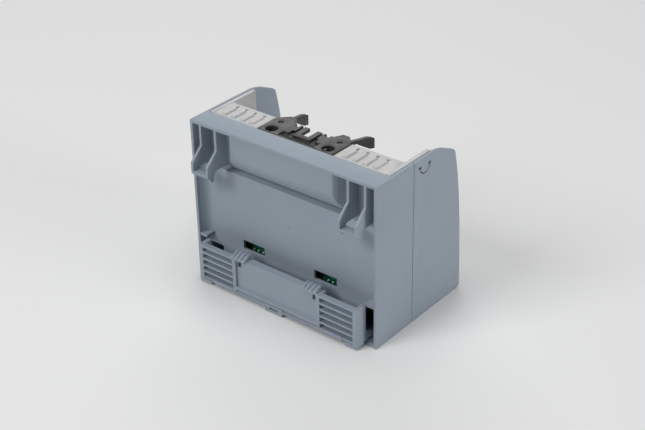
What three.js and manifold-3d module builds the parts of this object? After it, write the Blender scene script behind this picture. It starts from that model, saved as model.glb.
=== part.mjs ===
// DIN-rail control module: a two-part moulded housing that hooks onto a 35 mm rail, with spring
// terminals and a ribbon-cable header along its top and a sliding rail latch at its foot.
//
// Frame: millimetres, +Z up as the module hangs on its rail, rear (the rail side) towards +Y,
// front towards -Y. The origin is at the middle of the footprint, on the bottom face.
// While the pieces are drawn, y = 0 is the plane of the side walls' rear edges, where the rail
// bears; the whole group is shifted along Y at the end to centre the footprint.

import * as THREE from 'three';
import { mergeVertices } from 'three/addons/utils/BufferGeometryUtils.js';
import Module from 'manifold-3d';

const wasm = await Module();
wasm.setup();

// ---------------------------------------------------------------- driving dimensions

const clearance = 0.3;            // between pieces that touch or slide

// Housing
const width = 95.4;               // over the side walls
const height = 73.5;
const depth = 58.3;               // rail plane to the front, at the base
const rearDepth = 24;             // rail plane to the parting line
const wall = 1.3;                 // side walls, top and panels
const floorWall = 1.4;            // bottom of both shells
const topStripDepth = 10.3;       // top wall, rear edge to the terminals
const earTopLength = 12;          // level top of the ear in front of the parting line
const earDrop = 4.8;              // ear's top falls this far on its way to the front corner
const earFrontSetback = 5.9;      // ear's front corner behind the base's front edge
const deckDrop = 18;              // top of the front shell between the ears, below the housing's top
const deckFront = 39.3;           // depth where that deck starts to slope down
const browDrop = 8.5;             // where the slope meets the front face, below the deck

// Rear panel
const panelDepth = 5;             // rail-zone panel behind the rail plane
const ledgeFoot = 8.7;            // depth of the upper panel's foot
const pocketDepth = 6;            // floor of the hook pockets
const panelFillet = 4;            // hollow corner between the rail-zone panel and the side walls
const pocketWidth = 17.2;         // side wall's outer face to the foot of the upper panel's end
const panelFlush = 0.3;           // upper panel behind the rail plane
const bulgeRun = 4.5;             // width over which the upper panel's end rises from the pocket
const bendDrop = 10;              // where the upper panel starts to curve back, below the top
const windowInner = 13.4;         // inspection windows, from their middle line
const windowWidth = 11.6;
const windowRise = 1.9;           // their top above the rail's lower edge
const windowHeight = 4.4;
const innerShift = 0.9;           // header, terminals, windows and latch pads sit this far to +X

// Rail and the hooks that hang on its upper edge
const railWidth = 35;
const railFoot = 19.6;            // lower edge of a fitted rail
const railLip = 1.0;              // thickness of the rail's edge
const hookReach = 5.9;            // hooks behind the rail plane
const hookInset = 4.8;            // outer web's outer face from the housing's side
const hookWidth = 9.4;            // over both webs
const webThickness = 1.2;
const hookRise = 8.5;             // where the web starts to slope out, above the rail
const hookLipDrop = 4.3;          // lip below the rail's upper edge

// Rail latch
const latchBottom = 0.7;
const latchFront = 0.8;           // latch's face towards the rail plane
const latchBack = 5.6;            // latch's outer face
const latchInset = 5.4;           // from the housing's side to the latch's end post
const postWidth = 2.2;
const slotLength = 16.4;
const latchWayTop = 14.2;         // openings in the rail panel behind the latch's ends
const frameWidth = 1.9;
const slatCount = 6;
const slatHeight = 1.0;
const slatPitch = 3.05;
const padWidth = 7.2;
const padHeight = 1.7;
const padRibs = 4;
const tabWidth = 9.3;
const tabHeight = 3.0;

// Ribbon-cable header
const headerHalfWidth = 19.4;
const headerHeight = 10;
const headerFront = 23;
const headerColumns = 9;
const pinPitch = 2.54;
const pinSize = 0.64;
const leverInset = 4.2;           // lever's pivot from the header's end
const leverPivotY = -20.3;
const leverThickness = 2.0;
const leverRest = 6.6;            // degrees that a closed lever leans outwards
const leverTip = 39.2;            // depth of the lever's tip

// Terminal blocks
const terminalFront = 22.8;       // face with the wire entries
const cheekFront = 36.8;
const cheekWidth = 1.9;
const poleCount = 4;
const entryDrop = 7.1;            // middle of the wire entries below the top

// Boards
const boardThickness = 1.6;
const boardFoot = 2.4;
const cornerNotch = 9;            // inward reach of the rear board's cut corners from the latch's ends
const boardSpacing = 14;          // between the two boards' facing sides

// ---------------------------------------------------------------- values worked out from them

const innerHalf = width / 2 - wall;
const ceiling = height - wall;
const earFrontTop = height - earDrop;
const deckHeight = height - deckDrop;
const browHeight = deckHeight - browDrop;
const bendHeight = height - bendDrop;
const hookRoof = railFoot + railWidth;                 // where the rail's upper edge stops
const hookTop = hookRoof + hookRise;
const ledgeHeight = hookRoof - 2.3;                    // top of the ledge over the rail-zone panel
const pocketBend = hookRoof + 2.9;                     // where the pockets' floor starts to curve back
const windowTop = railFoot + windowRise;
const latchTop = railFoot - 0.9;
const latchHalfWidth = width / 2 - latchInset;
const leverPivotX = headerHalfWidth - leverInset;
const entryHeight = height - entryDrop;
const terminalFoot = deckHeight - 4.8;                 // lower end of the blocks inside the housing
const blockOuter = innerHalf - clearance;
const polePitch = (blockOuter - cheekWidth - headerHalfWidth - clearance) / (poleCount + 1);
const entrySize = polePitch - 1.3;
const boardHalfWidth = innerHalf - 1;
const mainBoardTop = height - 2;
const logicBoardTop = deckHeight - 2.3;
const mainBoardBack = -(ledgeFoot + wall + 0.1);
const mainBoardFront = mainBoardBack - boardThickness;
const logicBoardBack = mainBoardFront - boardSpacing;
const logicBoardFront = logicBoardBack - boardThickness;
const connectorBack = mainBoardFront - clearance;      // rear of whatever is soldered to the board
const lipBack = -topStripDepth - clearance;            // connector tops reach back to the top wall
const lipUnderside = mainBoardTop + clearance;
const footprintShift = (depth - hookReach) / 2;

// ---------------------------------------------------------------- building blocks

function solidOf(geometry) {
  const bare = geometry.clone();
  for (const name of ['normal', 'uv', 'uv1', 'uv2']) bare.deleteAttribute(name);
  const welded = mergeVertices(bare, 1e-4);
  return new wasm.Manifold(new wasm.Mesh({
    numProp: 3,
    vertProperties: new Float32Array(welded.attributes.position.array),
    triVerts: new Uint32Array(welded.index.array),
  }));
}

function geometryOf(solid) {
  const mesh = solid.getMesh();
  const geometry = new THREE.BufferGeometry();
  geometry.setAttribute('position', new THREE.BufferAttribute(mesh.vertProperties, mesh.numProp));
  geometry.setIndex(new THREE.BufferAttribute(mesh.triVerts, 1));
  const flat = geometry.toNonIndexed();
  flat.computeVertexNormals();
  return flat;
}

function joined(solids) {
  return solids.reduce((sum, solid) => sum.add(solid));
}

// A block between two opposite corners, the corners given axis by axis in either order.
function block([x0, x1], [y0, y1], [z0, z1]) {
  const geometry = new THREE.BoxGeometry(Math.abs(x1 - x0), Math.abs(y1 - y0), Math.abs(z1 - z0));
  geometry.translate((x0 + x1) / 2, (y0 + y1) / 2, (z0 + z1) / 2);
  return solidOf(geometry);
}

function shapeOf(points) {
  return new THREE.Shape(points.map(([u, v]) => new THREE.Vector2(u, v)));
}

// An outline in (y, z), drawn out along X.
function prismAlongX(outline, [x0, x1]) {
  const shape = outline instanceof THREE.Shape ? outline : shapeOf(outline);
  const geometry = new THREE.ExtrudeGeometry(shape, { depth: x1 - x0, bevelEnabled: false, curveSegments: 10 });
  const swap = new THREE.Matrix4().set(0, 0, 1, x0, 1, 0, 0, 0, 0, 1, 0, 0, 0, 0, 0, 1);
  geometry.applyMatrix4(swap);
  return solidOf(geometry);
}

// An outline in (x, y), drawn out along Z.
function prismAlongZ(outline, [z0, z1]) {
  const shape = outline instanceof THREE.Shape ? outline : shapeOf(outline);
  const geometry = new THREE.ExtrudeGeometry(shape, { depth: z1 - z0, bevelEnabled: false, curveSegments: 10 });
  geometry.translate(0, 0, z0);
  return solidOf(geometry);
}

// A round pin or hole, its axis along 'x', 'y' or 'z' between two stations on that axis.
function round(axis, radius, [from, to], centre, sides = 20) {
  const geometry = new THREE.CylinderGeometry(radius, radius, to - from, sides);
  if (axis === 'x') geometry.rotateZ(-Math.PI / 2);
  if (axis === 'z') geometry.rotateX(Math.PI / 2);
  const middle = (from + to) / 2;
  if (axis === 'x') geometry.translate(middle, centre[0], centre[1]);
  if (axis === 'y') geometry.translate(centre[0], middle, centre[1]);
  if (axis === 'z') geometry.translate(centre[0], centre[1], middle);
  return solidOf(geometry);
}

// The same piece on the other side of the module.
function mirroredRange([x0, x1], side) {
  return side > 0 ? [x0, x1] : [-x1, -x0];
}

const finishes = {
  housing: { color: 0x8a949d, roughness: 0.62, metalness: 0 },
  terminal: { color: 0xbfc0be, roughness: 0.6, metalness: 0 },
  black: { color: 0x2c2d2f, roughness: 0.55, metalness: 0 },
  board: { color: 0x0f6a45, roughness: 0.45, metalness: 0 },
  contact: { color: 0xc9a24a, roughness: 0.3, metalness: 1 },
  steel: { color: 0xb4b7ba, roughness: 0.35, metalness: 1 },
  label: { color: 0xf1f1ee, roughness: 0.7, metalness: 0 },
  lens: { color: 0xe9f2ea, roughness: 0.2, metalness: 0 },
  can: { color: 0x3b3f4a, roughness: 0.4, metalness: 0.3 },
};

const plcModule = new THREE.Group();
plcModule.position.y = footprintShift;

// Pieces are drawn about the module's middle; shift moves one along X into its place.
function addPiece(name, solid, finish, shift = 0) {
  const mesh = new THREE.Mesh(geometryOf(solid), new THREE.MeshStandardMaterial(finishes[finish]));
  mesh.geometry.translate(shift, 0, 0);
  mesh.name = name;
  plcModule.add(mesh);
}

// ---------------------------------------------------------------- rear shell

// Side view of a skin that hangs from the top wall with its face at one depth, level down to a
// bend and then curving back to the foot on the ledge.
function hangingSkinShape(faceDepth, bend, back, inset = 0) {
  const face = -faceDepth - inset;
  const shape = new THREE.Shape();
  shape.moveTo(back, ceiling);
  shape.lineTo(face, ceiling);
  shape.lineTo(face, bend);
  shape.quadraticCurveTo(face, bend - (bend - ledgeHeight) * 0.4, -ledgeFoot - inset, ledgeHeight);
  shape.lineTo(back, ledgeHeight);
  return shape;
}

// Plan of the upper panel: each end swells out of the pocket along half a cosine wave.
function upperPanelPlan(back) {
  const halfFoot = width / 2 - pocketWidth;
  const steps = 12;
  const end = [];
  for (let i = 0; i <= steps; i += 1) {
    const run = i / steps;
    const rise = (pocketDepth - panelFlush) * (1 - Math.cos(Math.PI * run)) / 2;
    end.push([halfFoot - bulgeRun * run, rise - pocketDepth]);
  }
  const mirroredEnd = end.map(([x, y]) => [-x, y]).reverse();
  return [[-halfFoot, back], [halfFoot, back], ...end.slice(0, -1), [halfFoot - bulgeRun, 0.5],
    [-halfFoot + bulgeRun, 0.5], ...mirroredEnd.slice(1)];
}

// Bulging middle of the upper panel, hollow from inside.
function upperPanel() {
  const halfFoot = width / 2 - pocketWidth;
  const hollowHalf = halfFoot - bulgeRun - wall;
  const backPlane = -ledgeFoot - wall;
  const skin = prismAlongX(hangingSkinShape(panelFlush, bendHeight, backPlane), [-halfFoot, halfFoot]);
  const hollow = prismAlongX(hangingSkinShape(panelFlush, bendHeight, backPlane - 1, wall),
    [-hollowHalf, hollowHalf]);
  return skin.intersect(prismAlongZ(upperPanelPlan(backPlane - 1), [ledgeHeight, ceiling])).subtract(hollow);
}

// Floor of the hook pockets, from side wall to side wall; the bulge stands on it.
function pocketSkin() {
  const back = -ledgeFoot - wall;
  const front = hangingSkinShape(pocketDepth, pocketBend, back);
  const behind = hangingSkinShape(pocketDepth, pocketBend, back - 1, wall);
  const span = [-innerHalf - 0.5, innerHalf + 0.5];
  return prismAlongX(front, span).subtract(prismAlongX(behind, span))
    .add(block(span, [-ledgeFoot - wall, -pocketDepth - 0.5], [ceiling - 0.5, ceiling + 0.5]));
}

// Hollow corner that runs down beside the rail-zone panel.
function cornerFillet(side) {
  const edge = innerHalf + 0.2;
  const floor = -panelDepth - 0.2;
  const shape = new THREE.Shape();
  shape.moveTo(side * edge, floor);
  shape.lineTo(side * (innerHalf - panelFillet), floor);
  shape.lineTo(side * (innerHalf - panelFillet), -panelDepth);
  const start = -Math.PI / 2;
  const end = side > 0 ? 0 : -Math.PI;
  shape.absarc(side * (innerHalf - panelFillet), -panelDepth + panelFillet, panelFillet, start, end, side < 0);
  shape.lineTo(side * edge, -panelDepth + panelFillet);
  return prismAlongZ(shape, [latchTop, ledgeHeight]);
}

function hook(side) {
  const outer = width / 2 - hookInset;
  const inner = outer - hookWidth;
  const tipHeight = hookRoof - hookLipDrop;
  const profile = [
    [-pocketDepth - 0.8, ceiling + 0.5], [0, ceiling + 0.5], [0, hookTop], [hookReach, hookTop - 5.4],
    [hookReach, tipHeight + 3], [hookReach - 1.9, tipHeight + 0.1], [hookReach - 3, tipHeight],
    [railLip + 1.1, hookRoof - 0.9], [railLip + 0.4, hookRoof], [-ledgeFoot - 0.3, hookRoof],
    [-pocketDepth - 0.8, pocketBend],
  ];
  const floorProfile = [[railLip + 1.1, hookRoof - 0.9], [hookReach, hookRoof - 0.9],
    [hookReach, hookRoof - 2.1], [railLip + 1.6, hookRoof - 2.1]];
  return joined([
    prismAlongX(profile, mirroredRange([outer - webThickness, outer], side)),
    prismAlongX(profile, mirroredRange([inner, inner + webThickness], side)),
    prismAlongX(floorProfile, mirroredRange([inner, outer], side)),
  ]);
}

function rearShell() {
  const parting = -rearDepth + clearance / 2;
  const sides = [-1, 1];
  const walls = sides.map((side) => block(
    [side * innerHalf, side * width / 2], [parting, 0], [0, height]));
  const latchLedges = sides.map((side) => block(
    [side * (latchHalfWidth + clearance), side * (innerHalf + 0.5)], [-panelDepth - 0.5, -0.3],
    [latchTop, latchTop + wall]));
  const shell = joined([
    ...walls,
    block([-width / 2, width / 2], [-topStripDepth, 0], [ceiling, height]),
    block([-width / 2, width / 2], [parting, -0.2], [0, floorWall]),
    block([-innerHalf - 0.5, innerHalf + 0.5], [-panelDepth - wall, -panelDepth], [0, ledgeHeight]),
    block([-innerHalf - 0.5, innerHalf + 0.5], [-ledgeFoot - wall, -panelDepth], [ledgeHeight - wall, ledgeHeight]),
    pocketSkin(),
    ...sides.map(cornerFillet),
    ...latchLedges,
  ]);
  const hollowHalf = width / 2 - pocketWidth - bulgeRun - wall;
  const bulgeWay = block([-hollowHalf, hollowHalf], [-ledgeFoot - wall - 1, -pocketDepth + 1], [ledgeHeight, ceiling]);
  const throughPanel = [-panelDepth - wall - 1, -panelDepth + 1];
  const windows = sides.map((side) => block(
    [side * windowInner + innerShift, side * (windowInner + windowWidth) + innerShift], throughPanel,
    [windowTop - windowHeight, windowTop]));
  const latchWays = sides.map((side) => block(
    [side * (latchHalfWidth - cornerNotch / 2), side * (innerHalf - 0.8)], throughPanel,
    [floorWall + 0.6, latchWayTop]));
  let body = shell.subtract(bulgeWay).add(upperPanel());
  body = joined([body, ...sides.map(hook)]);
  for (const opening of [...windows, ...latchWays]) body = body.subtract(opening);
  return body;
}

addPiece('rear_shell', rearShell(), 'housing');

// ---------------------------------------------------------------- front shell

// Side view of the front shell, the ear included.
function earShape() {
  const parting = -rearDepth - clearance / 2;
  const bend = -rearDepth - earTopLength;
  const cornerY = -depth + earFrontSetback;
  const shape = new THREE.Shape();
  shape.moveTo(parting, 0);
  shape.lineTo(parting, height);
  shape.lineTo(bend, height);
  shape.quadraticCurveTo(bend - 3.5, height, bend - 8, height - 0.38 * earDrop);
  shape.lineTo(cornerY + 2.1, earFrontTop);
  shape.quadraticCurveTo(cornerY + 0.3, earFrontTop - 0.8, cornerY, earFrontTop - 2.8);
  shape.quadraticCurveTo(-depth + 0.9, earFrontTop * 2 / 3, -depth, 0);
  return shape;
}

// Side view of the shell between the ears: floor, curved front face, slope and deck.
function frontSkinShape(inset) {
  const parting = -rearDepth - clearance / 2 + (inset > 0 ? 1 : 0);
  const browY = -depth + inset + 3;
  const rise = inset * 1.3;
  const shape = new THREE.Shape();
  shape.moveTo(parting, inset > 0 ? floorWall : 0);
  shape.lineTo(parting, deckHeight - inset);
  shape.lineTo(-deckFront + rise / 2, deckHeight - inset);
  shape.lineTo(browY + 1.5, browHeight + 1.5 - inset);
  shape.quadraticCurveTo(browY, browHeight - inset, browY - 0.2, browHeight - 3 - inset);
  shape.quadraticCurveTo(-depth + inset + 0.9, browHeight / 2, -depth + inset + 0.3, inset > 0 ? floorWall : 0);
  return shape;
}

// Snap seat in the ear: a tongue that springs in its U-shaped slot, wider at both ends.
function snapSeat(side) {
  const seatY = -rearDepth - 7.2;
  const seatZ = height - 3.9;
  const slotReach = 3.2;
  const slotWidth = 0.45;
  const through = mirroredRange([innerHalf - 1, width / 2 + 1], side);
  const bow = new THREE.Shape();
  bow.absarc(seatY, seatZ, slotReach + slotWidth / 2, Math.PI, 2 * Math.PI, false);
  bow.absarc(seatY, seatZ, slotReach - slotWidth / 2, 2 * Math.PI, Math.PI, true);
  const ends = [-1, 1].map((end) => block(through,
    [seatY + end * slotReach - 0.8, seatY + end * slotReach + 0.8], [seatZ - 0.4, seatZ + 0.5]));
  return joined([prismAlongX(bow, through), ...ends]);
}

const labelWidth = 62;
const labelHeight = 12;
const labelFoot = 22;
const labelSeat = 0.9;
const lensWidth = 16;
const lensHeight = 3;
const lensFoot = 39;

function frontShell() {
  const earOuter = width / 2;
  const ears = [-1, 1].map((side) => prismAlongX(earShape(),
    mirroredRange([innerHalf, earOuter], side)));
  const skin = prismAlongX(frontSkinShape(0), [-innerHalf - 0.2, innerHalf + 0.2])
    .subtract(prismAlongX(frontSkinShape(wall), [-innerHalf, innerHalf]));
  let shell = joined([...ears, skin]);
  // Riser that closes the shell below the header, and the deck's tongue that carries it.
  const riserBack = -headerFront - 1.15;
  const underHeader = [-headerHalfWidth + innerShift, headerHalfWidth + innerShift];
  shell = joined([
    shell,
    block(underHeader, [riserBack - wall, riserBack], [deckHeight - wall, height - headerHeight - clearance]),
    block(underHeader, [-rearDepth - wall, riserBack], [deckHeight - wall, deckHeight]),
  ]);
  const labelFace = -depth + labelSeat + 0.6;
  shell = shell.subtract(block([-labelWidth / 2, labelWidth / 2], [-depth - 1, labelFace],
    [labelFoot, labelFoot + labelHeight]));
  shell = shell.add(block([-labelWidth / 2 - 1, labelWidth / 2 + 1], [labelFace, labelFace + wall],
    [labelFoot - 1, labelFoot + labelHeight + 1]));
  shell = shell.subtract(block([-lensWidth / 2, lensWidth / 2], [-depth - 1, -depth + 5],
    [lensFoot, lensFoot + lensHeight]));
  const footNotch = 3.6;
  for (const side of [-1, 1]) {
    shell = shell.subtract(snapSeat(side));
    shell = shell.subtract(block([side * (innerHalf - 2), side * (earOuter + 1)],
      [-depth - 1, -depth + footNotch], [-1, 0.9]));
  }
  return shell;
}

addPiece('front_shell', frontShell(), 'housing');

// Blank label strip in its seat on the front face.
function labelStrip() {
  const back = -depth + labelSeat + 0.6 - clearance / 3;
  return block([-labelWidth / 2 + clearance, labelWidth / 2 - clearance], [back - 0.6, back],
    [labelFoot + clearance, labelFoot + labelHeight - clearance]);
}

addPiece('label_strip', labelStrip(), 'label');

// Light guide from the logic board to the status window.
function lightGuide() {
  const face = -depth + 1.7;
  const guideBack = logicBoardFront - clearance;
  return joined([
    block([-lensWidth / 2 + clearance, lensWidth / 2 - clearance], [face, face + 2.2],
      [lensFoot + clearance, lensFoot + lensHeight - clearance]),
    block([-4, 4], [face + 2, guideBack], [lensFoot + 0.8, lensFoot + lensHeight - 0.8]),
  ]);
}

addPiece('light_guide', lightGuide(), 'lens');

// ---------------------------------------------------------------- rail latch

const slotOuter = latchHalfWidth - postWidth;
const slotInner = slotOuter - slotLength;
const sliderHalf = slotInner - clearance;

const footReach = 6.4;

// Fixed end of the latch: a post beside the side wall, with a foot that stops the slider's travel.
function latchEnd(side) {
  const footHeight = 1.3;
  return joined([
    block([side * slotOuter, side * latchHalfWidth], [-0.6, latchBack], [floorWall + clearance, latchTop]),
    block([side * slotOuter, side * latchHalfWidth], [latchFront, latchBack], [latchBottom, latchTop]),
    block([side * (latchHalfWidth - footReach), side * latchHalfWidth], [latchFront, latchBack],
      [latchBottom, latchBottom + footHeight]),
    // Root that stands on the housing's floor.
    block([side * slotOuter, side * latchHalfWidth], [-panelDepth + clearance, 0],
      [floorWall + clearance, floorWall + 2]),
  ]);
}

// Springy slats between the fixed end and the slider, joined where they leave the post.
function latchFlexure(side) {
  const stripWidth = 0.8;
  const outer = slotOuter - clearance;
  const lowest = latchTop - (slatCount - 1) * slatPitch - slatHeight;
  const slats = [];
  for (let i = 0; i < slatCount; i += 1) {
    const top = latchTop - i * slatPitch;
    slats.push(block([side * slotInner, side * outer], [latchFront, latchBack], [top - slatHeight, top]));
  }
  // The lowest slat is thicker where it clears the post's foot.
  slats.push(block([side * slotInner, side * (latchHalfWidth - footReach - clearance)],
    [latchFront, latchBack], [lowest - 0.8, lowest + slatHeight]));
  slats.push(block([side * (outer - stripWidth), side * outer], [latchFront, latchBack], [lowest, latchTop]));
  return joined(slats);
}

// Cam-faced nose that snaps behind the rail's lower edge, with grip ribs on its slope.
function latchPad(middle) {
  const front = railLip + 0.3;
  const foot = latchTop - 0.5;
  const crest = latchTop + padHeight;
  const ribWidth = 0.95;
  const solids = [prismAlongX([[front, foot], [front, crest], [front + 1, crest], [latchBack, latchTop + 0.2],
    [latchBack, foot]], [middle - padWidth / 2, middle + padWidth / 2])];
  for (let i = 0; i < padRibs; i += 1) {
    const x = middle + (i - (padRibs - 1) / 2) * (padWidth - ribWidth) / (padRibs - 1);
    solids.push(prismAlongX([[front, foot], [front, crest + 0.4], [front + 1.3, crest + 0.4],
      [latchBack, latchTop + 0.7], [latchBack, foot]], [x - ribWidth / 2, x + ribWidth / 2]));
  }
  return joined(solids);
}

function latchSlider() {
  const frameInner = sliderHalf - frameWidth;
  const barFoot = latchBottom + 0.9;
  const sillHeight = 5.1;
  const recess = 1.1;
  const tabX = 0.95;
  const body = block([-sliderHalf, sliderHalf], [latchFront, latchBack], [barFoot, latchTop]);
  const recessCut = block([-frameInner, frameInner], [latchBack - recess, latchBack + 1], [sillHeight, latchTop + 1]);
  const groove = block([-frameInner, frameInner], [latchBack - 0.6, latchBack + 1],
    [barFoot + 1.1, barFoot + 2.1]);
  const keyholes = [-1, 1].map((side) => block([side * (frameInner - 2.3), side * (frameInner - 0.5)],
    [latchFront - 1, latchBack + 1], [latchTop - 3.9, latchTop - 1.1]));
  const tab = block([tabX - tabWidth / 2, tabX + tabWidth / 2], [latchBack - 2.2, latchBack + 0.2],
    [latchBottom - 0.3, latchBottom - 0.3 + tabHeight]);
  const toolSlot = block([tabX - tabWidth / 4, tabX + tabWidth / 4], [latchFront - 1, latchBack + 2],
    [latchBottom + 0.7, latchBottom + 1.7]);
  let slider = body.subtract(recessCut).subtract(groove).add(tab).subtract(toolSlot);
  for (const keyhole of keyholes) slider = slider.subtract(keyhole);
  const padX = sliderHalf - 4.4;
  return joined([slider, latchPad(innerShift - padX), latchPad(innerShift + padX)]);
}

for (const [side, suffix] of [[1, 'left'], [-1, 'right']]) {
  addPiece(`latch_end_${suffix}`, latchEnd(side), 'housing');
  addPiece(`latch_flexure_${suffix}`, latchFlexure(side), 'housing');
}
addPiece('latch_slider', latchSlider(), 'housing');

// ---------------------------------------------------------------- ribbon-cable header

const headerFoot = height - headerHeight;
const socketHalf = headerHalfWidth - 6.8;
const socketFoot = headerFoot + 1.6;
const socketTop = height - 1.5;
const socketBack = -14.4;
const plateThickness = 1.2;
const cornerBack = -11.4;         // back and front of the eight-sided corner recesses
const cornerFront = -16.2;
const troughDepth = 2.2;
const pinReach = 7.8;             // free length of the plug pins
const pinRows = [headerFoot + 3.7, headerFoot + 3.7 + pinPitch];
const pinRowHalf = (headerColumns - 1) / 2 * pinPitch;

function headerPlan() {
  const endFront = headerFront + 3.8;
  return [
    [-headerHalfWidth, connectorBack], [headerHalfWidth, connectorBack], [headerHalfWidth, -headerFront + 1.5],
    [headerHalfWidth - 1.5, -headerFront - 1], [headerHalfWidth - 4.2, -endFront],
    [headerHalfWidth - 7.4, -endFront], [headerHalfWidth - 9.4, -headerFront],
    [-headerHalfWidth + 9.4, -headerFront], [-headerHalfWidth + 7.4, -endFront],
    [-headerHalfWidth + 4.2, -endFront], [-headerHalfWidth + 1.5, -headerFront - 1],
    [-headerHalfWidth, -headerFront + 1.5],
  ];
}

function headerBody() {
  let body = prismAlongZ(headerPlan(), [headerFoot, height]);
  body = body.add(block([-headerHalfWidth, headerHalfWidth], [connectorBack - 0.5, lipBack], [lipUnderside, height]));
  // Socket for the cable plug, and the key notch through its upper wall.
  const socket = block([-socketHalf, socketHalf], [-headerFront - 6, socketBack], [socketFoot, socketTop]);
  const keyNotch = block([-2, 2], [-headerFront - 6, -headerFront + 6.2], [socketTop - 1, height + 1]);
  // Stepped recess in the top, around the collar that holds the key notch, and the trough behind it.
  const recessed = [height - 1, height + 1];
  const steps = joined([
    block([-9.4, 9.4], [-15, cornerBack], recessed),
    block([-9.4, 9.4], [-13.5, cornerBack], [height - troughDepth, height + 1]),
    block([-6.7, 6.7], [-17, -14], recessed),
    block([-5.4, 5.4], [-headerFront - 6, -14], recessed),
  ]).subtract(block([-4.4, 4.4], [-headerFront - 7, -14.4], recessed));
  body = body.subtract(socket).subtract(steps).subtract(keyNotch);
  for (const side of [-1, 1]) {
    // Bay where the lever swings, its pivot holes, and the moulded recess behind it.
    const bay = block([side * (socketHalf + 1), side * (headerHalfWidth + 1)], [-headerFront - 6, leverPivotY + 1.5],
      [headerFoot + plateThickness, height - plateThickness]);
    const pivot = round('z', 1.1, [headerFoot - 1, height + 1], [side * leverPivotX, leverPivotY]);
    const recessMiddle = side * (leverPivotX - 0.65);
    const recessHalf = 2.65;
    const sloped = recessHalf - 1.4;
    const recess = prismAlongZ([[-sloped, cornerBack], [sloped, cornerBack], [recessHalf, cornerBack - 1.4],
      [recessHalf, cornerFront + 1.4], [sloped, cornerFront], [-sloped, cornerFront],
      [-recessHalf, cornerFront + 1.4], [-recessHalf, cornerBack - 1.4],
    ].map(([x, y]) => [recessMiddle + x, y]), [height - 3, height + 1]);
    const sightHole = block([side * 5.5, side * 6.6], [-17.9, -16.8], [socketTop - 1, height + 1]);
    const frontDent = block([side * 6.6, side * 8.8], [-headerFront - 1, -headerFront + 1.7],
      [socketTop - 1, height + 1]);
    body = body.subtract(bay).subtract(pivot).subtract(recess).subtract(sightHole).subtract(frontDent);
  }
  for (const rowHeight of pinRows) {
    const barSeat = pinSize / 2 + clearance;
    body = body.subtract(block([-pinRowHalf - 0.9, pinRowHalf + 0.9], [socketBack + 1.2, connectorBack + 1],
      [rowHeight - barSeat, rowHeight + barSeat]));
    for (let i = 0; i < headerColumns; i += 1) {
      const x = -pinRowHalf + i * pinPitch;
      body = body.subtract(block([x - barSeat, x + barSeat], [socketBack - 1, connectorBack],
        [rowHeight - barSeat, rowHeight + barSeat]));
    }
  }
  return body;
}

// One row of plug pins on the bar that carries them into the board.
function contactRow(rowHeight) {
  const half = pinSize / 2;
  const pinTip = socketBack - pinReach;
  const barFront = socketBack + 1.5;
  const solids = [block([-pinRowHalf - 0.6, pinRowHalf + 0.6], [barFront, connectorBack],
    [rowHeight - half, rowHeight + half])];
  for (let i = 0; i < headerColumns; i += 1) {
    const x = -pinRowHalf + i * pinPitch;
    solids.push(block([x - half, x + half], [pinTip, barFront + 0.2], [rowHeight - half, rowHeight + half]));
  }
  return joined(solids);
}

// Latching lever, drawn about its pivot: a root with round trunnions, a neck and a wedge-shaped grip.
function headerLever(side) {
  const tip = -leverTip - leverPivotY;
  const rootFoot = headerFoot + plateThickness + clearance;
  const rootTop = height - plateThickness - clearance;
  const gripTop = height - 4.6;
  const gripFoot = height - 9.1;
  const neckTop = rootTop - 0.3;
  const profile = [
    [0.9, rootFoot], [0.9, rootTop], [-5, rootTop], [-7, neckTop], [tip + 2.9, gripTop + 1.3], [tip, gripTop],
    [tip, gripFoot], [tip + 2.9, gripFoot + 0.7], [-8.2, neckTop - 1.5], [-5, neckTop - 2.4], [-2.6, rootFoot],
  ];
  const half = leverThickness / 2;
  const drawn = joined([
    prismAlongX(profile, [-half, half]),
    round('z', 0.8, [headerFoot + 0.2, height - 0.3], [0, 0]),
  ]);
  const geometry = geometryOf(drawn);
  geometry.rotateZ(THREE.MathUtils.degToRad(side * leverRest));
  geometry.translate(side * leverPivotX, leverPivotY, 0);
  return solidOf(geometry);
}

addPiece('header_body', headerBody(), 'black', innerShift);
addPiece('contact_row_lower', contactRow(pinRows[0]), 'contact', innerShift);
addPiece('contact_row_upper', contactRow(pinRows[1]), 'contact', innerShift);
addPiece('header_lever_left', headerLever(1), 'black', innerShift);
addPiece('header_lever_right', headerLever(-1), 'black', innerShift);

// ---------------------------------------------------------------- terminal blocks

const terminalTop = height - 0.2;
const cageWidth = entrySize - 0.6;
const cageHeight = entrySize - 0.6;
const cageDepth = 5.0;
const cageFront = -terminalFront + 2;

// Poles are counted from the header outwards.
function poleX(side, index) {
  return side * (headerHalfWidth + clearance + (index + 0.9) * polePitch) + innerShift;
}

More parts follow.
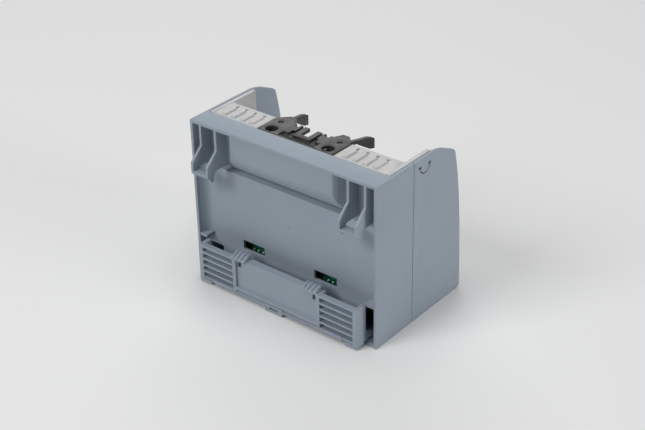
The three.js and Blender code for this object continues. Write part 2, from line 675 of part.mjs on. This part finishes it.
function terminalBlock(side) {
  const inner = headerHalfWidth + clearance + side * innerShift;
  const outer = blockOuter;
  const deckTop = deckHeight + clearance;
  const stepTop = deckTop + 1.5;
  const between = (x0, x1) => mirroredRange([x0, x1], side);
  let body = joined([
    block(between(inner, outer), [-terminalFront, connectorBack], [terminalFoot, terminalTop]),
    block(between(inner, outer), [connectorBack - 0.5, lipBack], [lipUnderside, terminalTop]),
    block(between(inner, outer), [-cheekFront, -terminalFront + 0.5], [deckTop, stepTop]),
    block(between(outer - cheekWidth, outer), [-cheekFront, connectorBack], [deckTop + 1, height]),
    block(between(outer - cheekWidth, outer), [connectorBack - 0.5, lipBack], [lipUnderside, height]),
  ]);
  // Clear of the front shell's deck and of the parting line below it.
  body = body.subtract(block(between(inner - 1, outer + 1), [-cheekFront - 1, -terminalFront - 0.9],
    [terminalFoot - 1, deckTop]));
  for (let i = 0; i < poleCount; i += 1) {
    const x = poleX(side, i);
    const half = entrySize / 2;
    const entry = block([x - half, x + half], [-terminalFront - 1, cageFront + cageDepth + clearance],
      [entryHeight - half, entryHeight + half]);
    const groove = polePitch * 0.2;
    const trough = block([x - groove, x + groove], [-19.4, -12.2], [terminalTop - 0.6, terminalTop + 1]);
    const release = round('z', 0.75, [entryHeight, terminalTop + 1], [x, -20.6], 12);
    const testSlot = block([x - polePitch * 0.3, x + polePitch * 0.3], [-27.2, -26], [deckTop + 0.6, stepTop + 1]);
    body = body.subtract(entry).subtract(trough).subtract(release).subtract(testSlot);
  }
  return body;
}

// Cage of a spring terminal: a square ring of bent strip, seen from the wire's side.
function clampCage(x) {
  const strip = 0.5;
  const ring = block([x - cageWidth / 2, x + cageWidth / 2], [cageFront, cageFront + cageDepth],
    [entryHeight - cageHeight / 2, entryHeight + cageHeight / 2]);
  const bore = block([x - cageWidth / 2 + strip, x + cageWidth / 2 - strip], [cageFront - 1, cageFront + cageDepth + 1],
    [entryHeight - cageHeight / 2 + strip, entryHeight + cageHeight / 2 - strip]);
  return ring.subtract(bore);
}

for (const [side, suffix] of [[1, 'left'], [-1, 'right']]) {
  addPiece(`terminal_block_${suffix}`, terminalBlock(side), 'terminal');
  for (let i = 0; i < poleCount; i += 1) {
    addPiece(`clamp_cage_${suffix}_${i + 1}`, clampCage(poleX(side, i)), 'steel');
  }
}

// ---------------------------------------------------------------- boards and what they carry

function board(front, back, top) {
  return block([-boardHalfWidth, boardHalfWidth], [front, back], [boardFoot, top]);
}

// Something soldered flat to a board's front side.
function chip(front, [x, z], [chipWidth, chipHeight, chipThickness]) {
  const back = front - clearance / 2;
  return block([x - chipWidth / 2, x + chipWidth / 2], [back - chipThickness, back],
    [z - chipHeight / 2, z + chipHeight / 2]);
}

function boardLink() {
  return block([-25.4, 25.4], [logicBoardBack + clearance, mainBoardFront - clearance], [8, 13]);
}

// The rear board's lower corners are cut away behind the latch's ends.
function mainBoard() {
  const notches = [-1, 1].map((side) => block([side * (latchHalfWidth - cornerNotch), side * (boardHalfWidth + 1)],
    [mainBoardFront - 1, mainBoardBack + 1], [boardFoot - 1, latchWayTop + 1.8]));
  return board(mainBoardFront, mainBoardBack, mainBoardTop).subtract(joined(notches));
}

addPiece('main_board', mainBoard(), 'board');
addPiece('logic_board', board(logicBoardFront, logicBoardBack, logicBoardTop), 'board');
addPiece('board_link', boardLink(), 'black');
addPiece('controller_chip', chip(logicBoardFront, [27.4 - boardHalfWidth, 26], [14, 14, 1.4]), 'black');
addPiece('power_converter', chip(logicBoardFront, [boardHalfWidth - 19.4, 22], [19, 16, 9]), 'black');

const isolatorCount = 4;
for (let i = 0; i < isolatorCount; i += 1) {
  const x = (i - (isolatorCount - 1) / 2) * 18;
  addPiece(`isolator_${i + 1}`, chip(mainBoardFront, [x, 40], [7.5, 10.3, 2.4]), 'black');
}

[44, 32].forEach((z, i) => {
  const x = 9.4 - boardHalfWidth;
  const back = logicBoardFront - clearance / 2;
  addPiece(`filter_capacitor_${i + 1}`, round('y', 4, [back - 10.5, back], [x, z], 24), 'can');
});

export default plcModule;
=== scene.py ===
# A control module that hooks onto a 35 mm rail: blue-grey housing in two shells, spring terminals and
# a ribbon-cable header along the top, a sliding rail latch at the foot. Metres, +Z up, rail side +Y.

import math

import bmesh
import bpy
from mathutils import Matrix, Vector


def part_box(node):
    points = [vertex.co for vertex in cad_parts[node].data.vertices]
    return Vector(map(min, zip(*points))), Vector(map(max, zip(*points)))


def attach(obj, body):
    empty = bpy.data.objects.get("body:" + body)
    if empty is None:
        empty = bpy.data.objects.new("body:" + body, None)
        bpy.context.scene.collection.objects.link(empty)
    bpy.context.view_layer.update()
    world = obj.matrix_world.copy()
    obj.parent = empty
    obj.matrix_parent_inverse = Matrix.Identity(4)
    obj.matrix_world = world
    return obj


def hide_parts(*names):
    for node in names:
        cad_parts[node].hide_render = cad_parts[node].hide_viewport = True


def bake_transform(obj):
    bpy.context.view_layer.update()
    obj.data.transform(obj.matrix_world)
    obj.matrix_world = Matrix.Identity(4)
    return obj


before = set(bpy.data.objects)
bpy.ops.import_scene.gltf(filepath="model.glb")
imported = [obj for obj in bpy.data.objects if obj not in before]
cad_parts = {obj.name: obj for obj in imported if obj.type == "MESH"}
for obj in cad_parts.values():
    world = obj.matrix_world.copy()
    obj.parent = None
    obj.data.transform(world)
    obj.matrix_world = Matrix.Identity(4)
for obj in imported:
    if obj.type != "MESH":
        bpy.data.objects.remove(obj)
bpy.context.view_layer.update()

# ---------------------------------------------------------------- camera
# A long lens that looks down on the module from behind its right-hand side: the rail side, one side
# wall and the top are in view. It is rolled very slightly and keeps everything in focus.

MM = 0.001
camera_azimuth = math.radians(219.56)
camera_elevation = math.radians(30.28)
camera_roll = math.radians(-1.19)
camera_target = Vector((-0.3, 0.5, 33.2)) * MM
camera_distance = 576.5 * MM

towards_camera = Vector((
    math.sin(camera_azimuth) * math.cos(camera_elevation),
    -math.cos(camera_azimuth) * math.cos(camera_elevation),
    math.sin(camera_elevation)))
level_right = Vector((math.cos(camera_azimuth), math.sin(camera_azimuth), 0))
level_up = towards_camera.cross(level_right)
rolled_right = math.cos(camera_roll) * level_right + math.sin(camera_roll) * level_up
rolled_up = towards_camera.cross(rolled_right)

camera_data = bpy.data.cameras.new("camera")
camera_data.sensor_width = 36
camera_data.lens = 77.4
camera_data.clip_start = 0.01
camera = bpy.data.objects.new("camera", camera_data)
turn = Matrix((rolled_right, rolled_up, towards_camera)).transposed().to_4x4()
camera.matrix_world = Matrix.Translation(camera_target + towards_camera * camera_distance) @ turn
bpy.context.scene.collection.objects.link(camera)
bpy.context.scene.camera = camera

# ---------------------------------------------------------------- floor and light
# Plain pale paper under the module. A large soft box hangs overhead, one lights the rail side and one
# the side wall, and a fourth behind the module brightens the far paper; the surround is nearly dark.


class Shade:
    """A shader socket that can be added and multiplied like a number."""

    def __init__(self, tree, socket):
        self.tree = tree
        self.socket = socket

    def combine(self, operation, first, second):
        node = self.tree.nodes.new("ShaderNodeMath")
        node.operation = operation
        for slot, value in zip(node.inputs, (first, second)):
            if isinstance(value, Shade):
                self.tree.links.new(value.socket, slot)
            else:
                slot.default_value = value
        return Shade(self.tree, node.outputs[0])

    def __add__(self, other):
        return self.combine("ADD", self, other)

    __radd__ = __add__

    def __mul__(self, other):
        return self.combine("MULTIPLY", self, other)

    __rmul__ = __mul__


class Finish:
    """One material: its Principled shader, and nodes added by type, settings and socket values."""

    def __init__(self, name, colour, roughness, **sockets):
        self.material = bpy.data.materials.new(name)
        self.material.use_nodes = True
        self.tree = self.material.node_tree
        self.shader = self.tree.nodes["Principled BSDF"]
        self.set("Base Color", (*colour, 1))
        self.set("Roughness", roughness)
        for socket, value in sockets.items():
            self.set(socket.replace("_", " "), value)

    def set(self, socket, value):
        if isinstance(value, Shade):
            self.tree.links.new(value.socket, self.shader.inputs[socket])
        else:
            self.shader.inputs[socket].default_value = value

    def add(self, node_type, settings=None, sockets=None, output=0):
        node = self.tree.nodes.new(node_type)
        for name, value in (settings or {}).items():
            if name == "stops":
                ramp = node.color_ramp.elements
                for element, (position, colour) in zip(ramp, value):
                    element.position, element.color = position, colour
            else:
                setattr(node, name, value)
        for name, value in (sockets or {}).items():
            if isinstance(value, Shade):
                self.tree.links.new(value.socket, node.inputs[name])
            else:
                node.inputs[name].default_value = value
        return Shade(self.tree, node.outputs[output])

    def place(self):
        return self.add("ShaderNodeTexCoord", output="Object")

    def noise(self, scale, detail, roughness=0.5):
        return self.add("ShaderNodeTexNoise", sockets={
            "Vector": self.place(), "Scale": scale, "Detail": detail, "Roughness": roughness})

    def mix(self, factor, first, second):
        return self.add("ShaderNodeMix", {"data_type": "RGBA"}, {
            "Factor": factor, "A": (*first, 1), "B": (*second, 1)}, output="Result")

    def bump(self, height, distance):
        self.set("Normal", self.add("ShaderNodeBump", sockets={
            "Height": height, "Distance": distance, "Strength": 1.0}, output="Normal"))


paper_half_width = 3
paper = Finish("paper", (0.8, 0.8, 0.795), 0.9)
bm = bmesh.new()
bmesh.ops.create_grid(bm, x_segments=1, y_segments=1, size=paper_half_width)
floor_mesh = bpy.data.meshes.new("floor")
bm.to_mesh(floor_mesh)
bm.free()
floor_mesh.materials.append(paper.material)
floor = bpy.data.objects.new("floor", floor_mesh)
bpy.context.scene.collection.objects.link(floor)


def soft_box(name, position, power, size):
    """A square lamp aimed at the middle of the module."""
    light = bpy.data.lights.new(name, "AREA")
    light.energy = power
    light.size = size
    lamp = bpy.data.objects.new(name, light)
    aim = (camera_target - Vector(position)).to_track_quat("-Z", "Y")
    lamp.matrix_world = Matrix.Translation(position) @ aim.to_matrix().to_4x4()
    bpy.context.scene.collection.objects.link(lamp)


soft_box("overhead", (-0.1, 0.0, 1.4), 9.9, 1.2)
soft_box("rail_side_fill", (0.4, 1.15, 0.95), 11.0, 0.7)
soft_box("wall_side_fill", (-1.3, -0.2, 0.28), 6.2, 0.45)
soft_box("far_side_glow", (0.75, -0.95, 0.7), 5.3, 1.0)

surround = bpy.data.worlds.new("surround")
surround.use_nodes = True
sky = surround.node_tree.nodes["Background"]
sky.inputs["Color"].default_value = (0.9, 0.93, 1, 1)
sky.inputs["Strength"].default_value = 0.08
bpy.context.scene.world = surround
bpy.context.scene.view_settings.view_transform = "Standard"

# ---------------------------------------------------------------- rear shell
# The rear half of the housing: one moulding in blue-grey glass-filled plastic with a spark-eroded
# grain. It carries the four rail hooks, the bulging upper panel, the rail panel with two inspection
# windows, and the openings behind the latch. Every outer edge keeps the small radius of its tool.

housing_colour = (0.284, 0.335, 0.39)
shell_edge = 0.1
edge_segments = 2
sharp_angle = math.radians(30)
cloud_scale = 70
sheen_scale = 240
grain_scale = 4200
sheen_change = 0.12


def moulded_plastic(name, colour, roughness, grain=0.02, mottle=0.05):
    """Matt plastic: a spark-eroded grain in the surface and a faint cloudiness in the colour."""
    finish = Finish(name, colour, roughness, IOR=1.49)
    cloud = finish.noise(cloud_scale, 2)
    lighter = tuple(min(1, c * (1 + mottle)) for c in colour)
    darker = tuple(c * (1 - mottle) for c in colour)
    finish.set("Base Color", finish.mix(cloud, darker, lighter))
    sheen = finish.noise(sheen_scale, 2)
    finish.set("Roughness", roughness - sheen_change / 2 + sheen_change * sheen)
    finish.bump(finish.noise(grain_scale, 2, 0.6), grain * MM)
    return finish.material


def finished_piece(bm, name, body, material, edge, stands_for=()):
    """Turns a bmesh into a piece that rides on its body, with rounded edges and clean shading."""
    mesh = bpy.data.meshes.new(name)
    bm.to_mesh(mesh)
    bm.free()
    mesh.materials.append(material)
    mesh.shade_smooth()
    piece = bpy.data.objects.new(name, mesh)
    bpy.context.scene.collection.objects.link(piece)
    rounding = piece.modifiers.new("edge_radius", "BEVEL")
    rounding.width = edge * MM
    rounding.segments = edge_segments
    rounding.limit_method = "ANGLE"
    rounding.angle_limit = sharp_angle
    rounding.use_clamp_overlap = False
    rounding.loop_slide = False
    rounding.harden_normals = True
    if body:
        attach(piece, body)
    if stands_for:
        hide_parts(*stands_for)
    return piece


def refined(node, body, material, edge):
    """A finer copy of a CAD solid: flat faces rejoined, every sharp edge given its moulded radius."""
    merge_distance = 0.002 * MM
    flat_angle = math.radians(0.8)
    bm = bmesh.new()
    bm.from_mesh(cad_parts[node].data)
    bmesh.ops.remove_doubles(bm, verts=bm.verts, dist=merge_distance)
    bmesh.ops.dissolve_limit(bm, angle_limit=flat_angle, verts=bm.verts, edges=bm.edges)
    bmesh.ops.triangulate(bm, faces=bm.faces, quad_method="BEAUTY", ngon_method="BEAUTY")
    finished_piece(bm, node + "_skin", body, material, edge, [node])


housing_plastic = moulded_plastic("housing_plastic", housing_colour, 0.55)
refined("rear_shell", "housing", housing_plastic, edge=shell_edge)

# ---------------------------------------------------------------- injection mark
# The round witness of the hot nozzle in the middle of the rail panel, a shallow dome left standing
# in the rear shell's own plastic.

mark_place = Vector((0.6, 21.2, 36.5)) * MM
mark_radius = 0.75
mark_taper = 0.55
mark_proud = 0.3

bm = bmesh.new()
bmesh.ops.create_cone(bm, cap_ends=True, segments=20, radius1=mark_radius * MM,
                      radius2=mark_radius * mark_taper * MM, depth=2 * mark_proud * MM,
                      matrix=Matrix.Translation(mark_place) @ Matrix.Rotation(-math.pi / 2, 4, "X"))
finished_piece(bm, "injection_mark", "housing", housing_plastic, edge=0.08)

# ---------------------------------------------------------------- front shell
# The front half of the housing: two ears, the sloping front between them and the floor, one moulding
# in the same blue-grey plastic. It snaps into the rear half along the parting line.

refined("front_shell", "housing", housing_plastic, edge=0.15)

# ---------------------------------------------------------------- label strip and light guide
# A blank white card strip that lies in a seat on the front face, and the guide moulded in clear
# plastic that brings the status lamps' light from the board to the front; it is pressed in.

card = Finish("label_card", (0.82, 0.82, 0.8), 0.7)
card.set("Base Color", card.mix(card.noise(900, 4), (0.78, 0.78, 0.76), (0.85, 0.85, 0.83)))
refined("label_strip", "housing", card.material, edge=0.1)

clear_guide = Finish("clear_guide", (0.72, 0.78, 0.74), 0.12, IOR=1.58)
clear_guide.set("Roughness", 0.08 + 0.1 * clear_guide.noise(300, 2))
guide_cloud = clear_guide.noise(120, 2)
clear_guide.set("Base Color", clear_guide.mix(guide_cloud, (0.66, 0.73, 0.69), (0.76, 0.81, 0.78)))
refined("light_guide", "housing", clear_guide.material, edge=0.15)

# ---------------------------------------------------------------- latch ends
# Posts at both ends of the rail latch with the stop feet below them, moulded in the housing's
# blue-grey plastic and rooted on its floor. They stay still when the latch is pulled.

for side in ("left", "right"):
    refined("latch_end_" + side, "housing", housing_plastic, edge=0.2)

# ---------------------------------------------------------------- latch springs
# Thin slats, moulded in one with the posts and the sliding part and in the same plastic. On the module
# they bend when the latch is pulled down, the post's end staying and the slider's end going with it;
# here they are fixed in place and ride on no body. The lowest is a stiff bar on the slider's side.

slat_thickness = 0.95
slat_depth = 2.6
slat_pitch = 3.05
slat_count = 6
slat_steps = 18
slat_reach_in = 0.25
post_gap = 0.3
bar_thickness = 1.8
bar_length = 11.7
tail_inset = 0.2


def slat(bm, near_x, far_x, back_y, depth, top, thickness):
    """One bar along X, cut into short lengths."""
    middle = Vector(((near_x + far_x) / 2, back_y - depth / 2, top - thickness / 2))
    size = Vector((abs(far_x - near_x), depth, thickness))
    place = Matrix.Translation(middle) @ Matrix.Diagonal((*size, 1))
    bar = bmesh.ops.create_cube(bm, size=1, matrix=place)
    long_edges = {edge for vert in bar["verts"] for edge in vert.link_edges
                  if abs((edge.verts[0].co - edge.verts[1].co).x) > size.x / 2}
    bmesh.ops.subdivide_edges(bm, edges=list(long_edges), cuts=slat_steps)


for side, sign in (("left", 1), ("right", -1)):
    slider_low, slider_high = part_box("latch_slider")
    comb_low, comb_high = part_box("latch_flexure_" + side)
    outer_x = (comb_high if sign > 0 else comb_low).x + sign * (post_gap + slat_reach_in) * MM
    inner_x = (slider_high if sign > 0 else slider_low).x - sign * slat_reach_in * MM
    back_y = comb_high.y
    bm = bmesh.new()
    for row in range(slat_count - 1):
        top = comb_high.z - row * slat_pitch * MM
        slat(bm, inner_x, outer_x, back_y, slat_depth * MM, top, slat_thickness * MM)
    lowest = comb_high.z - (slat_count - 1) * slat_pitch * MM
    bar_end = inner_x + sign * bar_length * MM
    slat(bm, inner_x, bar_end, back_y, comb_high.y - comb_low.y, lowest, bar_thickness * MM)
    slat(bm, bar_end - sign * slat_reach_in * MM, outer_x, back_y - tail_inset * MM,
         slat_depth * MM, lowest - tail_inset * MM, slat_thickness * MM)
    spring = finished_piece(bm, "latch_spring_" + side, None, housing_plastic, edge=0.12,
                            stands_for=["latch_flexure_" + side])
    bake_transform(spring)

# ---------------------------------------------------------------- latch slider
# The part of the latch that moves: a framed plate with two ribbed noses that snap behind the rail
# and a slotted pull tab for a screwdriver, one blue-grey moulding with its springs.

refined("latch_slider", "latch", housing_plastic, edge=0.16)

# ---------------------------------------------------------------- terminal blocks
# Light grey plastic blocks with four spring terminals each, pushed onto the board before the
# housing is closed. The outer cheek of each block lines the housing's ear.

terminal_colour = (0.5, 0.5, 0.495)
terminal_plastic = moulded_plastic("terminal_plastic", terminal_colour, 0.38, grain=0.008, mottle=0.03)
for side in ("left", "right"):
    refined("terminal_block_" + side, "housing", terminal_plastic, edge=0.12)

# ---------------------------------------------------------------- terminal ribs
# A smooth raised rib behind each release hole guides the screwdriver to the spring. It is moulded
# with the block, in the same light grey plastic, and its upper edges are well rounded.

rib_width = 2.7
rib_front = 19.3
rib_back = 11.6
rib_thickness = 2.2
rib_proud = 0.55
rib_radius = 1.1
rail_plane = 26.2

for side in ("left", "right"):
    rib_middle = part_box("terminal_block_" + side)[1].z / MM + rib_proud - rib_thickness / 2
    for pole in range(1, 5):
        cage_low, cage_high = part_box(f"clamp_cage_{side}_{pole}")
        pole_x = (cage_low.x + cage_high.x) / 2 / MM
        bm = bmesh.new()
        size = Vector((rib_width, rib_front - rib_back, rib_thickness)) * MM
        middle = Vector((pole_x, rail_plane - (rib_front + rib_back) / 2, rib_middle)) * MM
        place = Matrix.Translation(middle) @ Matrix.Diagonal((*size, 1))
        bmesh.ops.create_cube(bm, size=1, matrix=place)
        upper = [edge for edge in bm.edges if all(v.co.z > middle.z for v in edge.verts)]
        bmesh.ops.bevel(bm, geom=upper, offset=rib_radius * MM, offset_type="OFFSET", segments=4,
                        profile=0.5, affect="EDGES", material=-1)
        finished_piece(bm, f"terminal_rib_{side}_{pole}", "housing", terminal_plastic, edge=0.05)

# ---------------------------------------------------------------- terminal cages
# Square rings bent from tinned spring strip that grip the wires, seen deep in the wire entries.
# Each is pushed into its pole of the block before the block goes onto the board.


def plated_metal(name, colour, roughness):
    """Plated strip: slightly uneven polish and a faint drawn texture."""
    finish = Finish(name, colour, roughness, Metallic=1.0)
    finish.set("Roughness", roughness - 0.05 + 0.15 * finish.noise(900, 3))
    darker = tuple(c * 0.88 for c in colour)
    finish.set("Base Color", finish.mix(finish.noise(350, 2), darker, colour))
    return finish.material


tinned_strip = plated_metal("tinned_strip", (0.62, 0.62, 0.61), 0.32)
for side in ("left", "right"):
    for pole in range(1, 5):
        refined(f"clamp_cage_{side}_{pole}", "housing", tinned_strip, edge=0.1)

# ---------------------------------------------------------------- cable header
# Black glass-filled plastic box header soldered to the upright board: a socket for the ribbon
# cable's plug that opens to the front, a key notch in a collar on top, and a bay for each lever.

header_plastic = moulded_plastic("header_plastic", (0.034, 0.034, 0.035), 0.42, grain=0.012)
refined("header_body", "housing", header_plastic, edge=0.1)

# ---------------------------------------------------------------- header pins
# Two rows of square pins drawn from gold-plated wire, with chamfered tips. They are pressed through
# the header's rear wall and soldered to the board.

pin_columns = 9
pin_pitch = 2.54
pin_half = 0.32
tip_chamfer = 0.25

gold_plate = plated_metal("gold_plate", (0.86, 0.62, 0.25), 0.25)
for row in ("lower", "upper"):
    row_low, row_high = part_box("contact_row_" + row)
    middle_x = (row_low.x + row_high.x) / 2
    middle_z = (row_low.z + row_high.z) / 2
    bm = bmesh.new()
    for column in range(pin_columns):
        x = middle_x + (column - (pin_columns - 1) / 2) * pin_pitch * MM
        centre = Vector((x, (row_low.y + row_high.y) / 2, middle_z))
        size = Vector((2 * pin_half * MM, row_high.y - row_low.y, 2 * pin_half * MM))
        pin = bmesh.ops.create_cube(bm, size=1, matrix=Matrix.Translation(centre)
                                    @ Matrix.Diagonal((*size, 1)))
        tip = [edge for edge in {e for v in pin["verts"] for e in v.link_edges}
               if all(v.co.y < centre.y for v in edge.verts)]
        bmesh.ops.bevel(bm, geom=tip, offset=tip_chamfer * MM, offset_type="OFFSET", segments=1,
                        profile=0.5, affect="EDGES", material=-1)
    finished_piece(bm, "header_pins_" + row, "housing", gold_plate, edge=0.03,
                   stands_for=["contact_row_" + row])

# ---------------------------------------------------------------- header levers
# Two latching levers moulded in the header's black plastic. They turn on round trunnions clipped
# into the header, lock over the plug and push it out when opened.

refined("header_lever_left", "lever_left", header_plastic, edge=0.15)
refined("header_lever_right", "lever_right", header_plastic, edge=0.15)

# ---------------------------------------------------------------- circuit boards
# Two upright glass-fibre boards under green solder mask, inside the housing; the rear one is seen
# through the windows. Copper tracks show through the mask as lighter green lines.

mask_green = (0.004, 0.085, 0.045)
track_green = (0.012, 0.18, 0.085)
solder_mask = Finish("solder_mask", mask_green, 0.3)
tracks = solder_mask.add("ShaderNodeTexVoronoi",
                         {"feature": "DISTANCE_TO_EDGE", "distance": "EUCLIDEAN"},
                         {"Vector": solder_mask.place(), "Scale": 420.0}, output="Distance")
track_lines = solder_mask.add("ShaderNodeValToRGB", {"stops": (
    (0.06, (1, 1, 1, 1)), (0.12, (0, 0, 0, 1)))}, {"Fac": tracks})
solder_mask.set("Base Color", solder_mask.mix(track_lines, mask_green, track_green))
solder_mask.set("Roughness", 0.25 + 0.15 * solder_mask.noise(500, 2))
for node in ("main_board", "logic_board"):
    refined(node, "housing", solder_mask.material, edge=0.08)

# ---------------------------------------------------------------- solder joints
# Bright domes of solder round the leads of the parts on the rear board, a row behind each window.
# They stand on the board's back, where the leads come through.

joint_radius = 0.62
joint_height = 14.9
joints_in_row = 5
row_middles = (19.6, -18.2)
board_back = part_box("main_board")[1].y
solder = plated_metal("solder", (0.72, 0.72, 0.69), 0.28)
bm = bmesh.new()
for row_middle in row_middles:
    for step in range(joints_in_row):
        joint_x = row_middle + (step - (joints_in_row - 1) / 2) * pin_pitch
        place = Vector((joint_x * MM, board_back, joint_height * MM))
        bmesh.ops.create_uvsphere(bm, u_segments=12, v_segments=8, radius=joint_radius * MM,
                                  matrix=Matrix.Translation(place))
finished_piece(bm, "solder_joints", "housing", solder, edge=0.01)

# ---------------------------------------------------------------- parts on the boards
# Board-to-board connector, controller, power converter and isolators in black moulding compound,
# and two sleeved filter capacitors; all are soldered to the boards inside the housing.

compound = moulded_plastic("moulding_compound", (0.02, 0.02, 0.022), 0.5, grain=0.01)
refined("board_link", "housing", compound, edge=0.12)
chips = ["controller_chip", "power_converter", *(f"isolator_{number}" for number in range(1, 5))]
for node in chips:
    refined(node, "housing", compound, edge=0.12)

sleeve = Finish("capacitor_sleeve", (0.05, 0.06, 0.09), 0.35)
sleeve.set("Roughness", 0.3 + 0.15 * sleeve.noise(400, 2))
sleeve.set("Base Color", sleeve.mix(sleeve.noise(150, 2), (0.04, 0.05, 0.08), (0.07, 0.08, 0.11)))
for node in ("filter_capacitor_1", "filter_capacitor_2"):
    refined(node, "housing", sleeve.material, edge=0.25)
